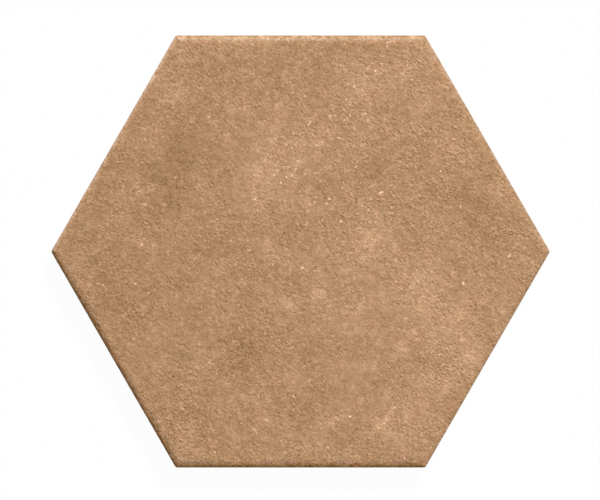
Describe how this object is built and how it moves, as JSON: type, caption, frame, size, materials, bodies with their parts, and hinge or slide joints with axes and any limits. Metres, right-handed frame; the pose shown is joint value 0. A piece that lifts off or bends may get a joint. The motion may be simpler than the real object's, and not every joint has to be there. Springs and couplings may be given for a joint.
{
  "type": "hexagonal floor tile",
  "caption": "Flat regular hexagonal floor tile in sandy tan ceramic, with a softly rolled-off face edge, a finely grained matt face and a keyed honeycomb back.",
  "frame": {"origin": "centre of the underside, on the level of the back's rib crests and border, which is what the tile lies on", "axes": "+Z out of the walking face, +X through a corner, +Y square to one of the six sides"},
  "size_m": [0.2536, 0.22, 0.009],
  "materials": {
    "tile": "matt, unglazed look, fine stone-like grain, sandy tan"
  },
  "bodies": {
    "root": {"hexagon_tile": "tile"}
  },
  "joints": []
}
